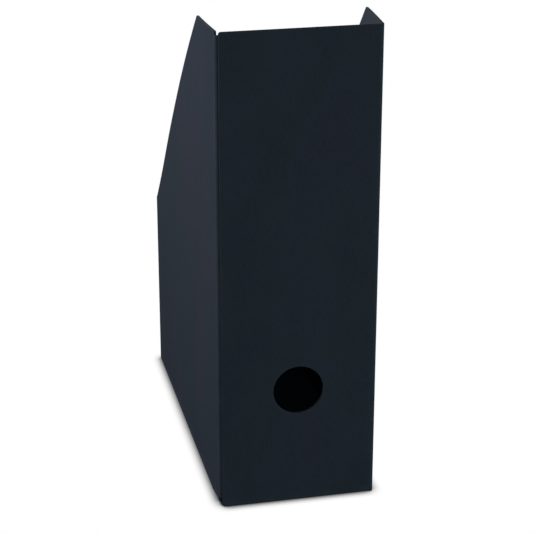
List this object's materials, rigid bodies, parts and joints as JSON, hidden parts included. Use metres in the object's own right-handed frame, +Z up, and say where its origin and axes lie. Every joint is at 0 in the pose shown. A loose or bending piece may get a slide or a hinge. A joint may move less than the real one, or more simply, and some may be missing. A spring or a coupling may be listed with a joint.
{
  "type": "magazine file holder",
  "caption": "Upright folded-board magazine file with a finger hole in the front, slanted open sides, a low rear wall and a folding base.",
  "frame": {"origin": "middle of the footprint, on the standing surface", "axes": "+Z up along the tall front, -Y out of the front face, +X towards the side away from the glued seam"},
  "size_m": [0.103, 0.242, 0.315],
  "materials": {
    "board_face": "matte blue-black dyed board",
    "board_inside": "matte dyed board, uncoated",
    "board_fold": "matte dyed board, slightly burnished by the fold"
  },
  "bodies": {
    "front": {"front_panel": "board_face", "seam_flap": "board_inside", "seam_crease": "board_fold", "front_right_crease": "board_fold", "base_crease": "board_fold"},
    "left_side": {"left_side_panel": "board_face", "left_flap_crease": "board_fold"},
    "right_side": {"right_side_panel": "board_face", "right_flap_crease": "board_fold", "rear_right_crease": "board_fold"},
    "rear": {"rear_panel": "board_face", "rear_left_crease": "board_fold"},
    "base": {"base_panel": "board_face", "tuck_crease": "board_fold"},
    "tuck_tab": {"base_tuck_tab": "board_inside"},
    "left_flap": {"left_bottom_flap": "board_inside"},
    "right_flap": {"right_bottom_flap": "board_inside"}
  },
  "joints": [
    {"name": "right_side_fold", "type": "hinge", "parent": "front", "child": "right_side", "pos_m": [0.05, -0.1177, 0.1575], "axis": [0, 0, -1], "range_deg": [0, 85], "deforming": ["front_right_crease"]},
    {"name": "left_side_fold", "type": "hinge", "parent": "front", "child": "left_side", "pos_m": [-0.05, -0.1177, 0.1575], "axis": [0, 0, -1], "range_deg": [0, 85], "deforming": ["seam_crease"]},
    {"name": "rear_fold", "type": "hinge", "parent": "right_side", "child": "rear", "pos_m": [0.05, 0.1195, 0.0655], "axis": [0, 0, -1], "range_deg": [-85, 0], "deforming": ["rear_right_crease", "rear_left_crease"]},
    {"name": "base_fold", "type": "hinge", "parent": "front", "child": "base", "pos_m": [0, -0.1195, 0.0015], "axis": [-1, 0, 0], "range_deg": [0, 90], "deforming": ["base_crease"]},
    {"name": "tuck_tab_fold", "type": "hinge", "parent": "base", "child": "tuck_tab", "pos_m": [0, 0.1165, 0.0015], "axis": [1, 0, 0], "range_deg": [0, 60], "deforming": ["tuck_crease"]},
    {"name": "left_flap_fold", "type": "hinge", "parent": "left_side", "child": "left_flap", "pos_m": [-0.05, 0, 0.0033], "axis": [0, 1, 0], "range_deg": [0, 90], "deforming": ["left_flap_crease"]},
    {"name": "right_flap_fold", "type": "hinge", "parent": "right_side", "child": "right_flap", "pos_m": [0.05, 0, 0.0033], "axis": [0, -1, 0], "range_deg": [0, 90], "deforming": ["right_flap_crease"]}
  ],
  "couplings": [
    {"joint": "left_side_fold", "follows": "right_side_fold", "ratio": 1},
    {"joint": "rear_fold", "follows": "right_side_fold", "ratio": -1},
    {"joint": "base_fold", "follows": "right_side_fold", "ratio": 1.0588},
    {"joint": "left_flap_fold", "follows": "right_side_fold", "ratio": 1.0588},
    {"joint": "right_flap_fold", "follows": "right_side_fold", "ratio": 1.0588}
  ]
}
